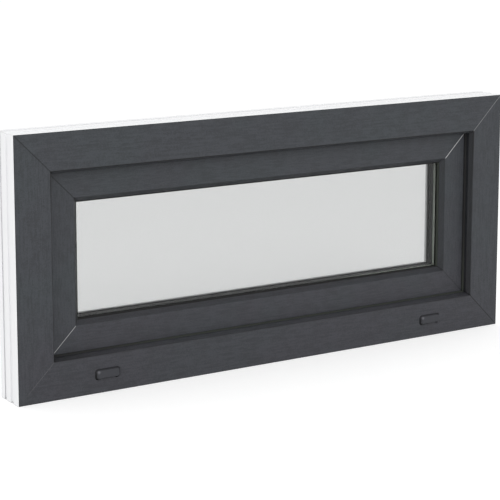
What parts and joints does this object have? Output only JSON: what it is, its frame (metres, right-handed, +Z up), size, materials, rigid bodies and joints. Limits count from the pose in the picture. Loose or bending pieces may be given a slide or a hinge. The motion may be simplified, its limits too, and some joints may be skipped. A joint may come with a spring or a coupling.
{
  "type": "basement window",
  "caption": "Wide low basement window with a dark foiled face, one inward tilting sash, double glazing, bottom hinges and a top handle.",
  "frame": {"origin": "on the frame's underside, at mid width and mid depth of the frame", "axes": "+X along the width to the right as seen from outside, -Y towards the outside, +Z up"},
  "size_m": [0.9, 0.1295, 0.4],
  "materials": {
    "white_plastic": "smooth satin white plastic profile",
    "foil": "anthracite grey foil with a fine embossed wood grain",
    "cap_plastic": "moulded anthracite plastic",
    "gasket": "matt black weather seal",
    "glass": "clear float glass",
    "spacer": "dark warm-edge spacer",
    "sealant": "dark edge sealant",
    "handle_metal": "white powder coat",
    "hinge_metal": "white powder coat",
    "pin_steel": "bright steel"
  },
  "bodies": {
    "root": {"drain_cap_left": "cap_plastic", "drain_cap_right": "cap_plastic", "edge_seal": "sealant", "frame_bottom": "white_plastic", "frame_foil_bottom": "foil", "frame_foil_left": "foil", "frame_foil_right": "foil", "frame_foil_top": "foil", "frame_gasket": "gasket", "frame_left": "white_plastic", "frame_right": "white_plastic", "frame_top": "white_plastic", "glass_inner": "glass", "glass_outer": "glass", "glazing_bead_bottom": "white_plastic", "glazing_bead_left": "white_plastic", "glazing_bead_right": "white_plastic", "glazing_bead_top": "white_plastic", "glazing_gasket_inner": "gasket", "glazing_gasket_outer": "gasket", "handle_lever": "handle_metal", "handle_rosette": "handle_metal", "hinge_frame_leaf_left": "hinge_metal", "hinge_frame_leaf_right": "hinge_metal", "hinge_pin_left": "pin_steel", "hinge_pin_right": "pin_steel", "hinge_sash_leaf_left": "hinge_metal", "hinge_sash_leaf_right": "hinge_metal", "sash_bottom": "white_plastic", "sash_foil_bottom": "foil", "sash_foil_left": "foil", "sash_foil_right": "foil", "sash_foil_top": "foil", "sash_gasket": "gasket", "sash_left": "white_plastic", "sash_right": "white_plastic", "sash_top": "white_plastic", "spacer": "spacer"}
  },
  "joints": []
}
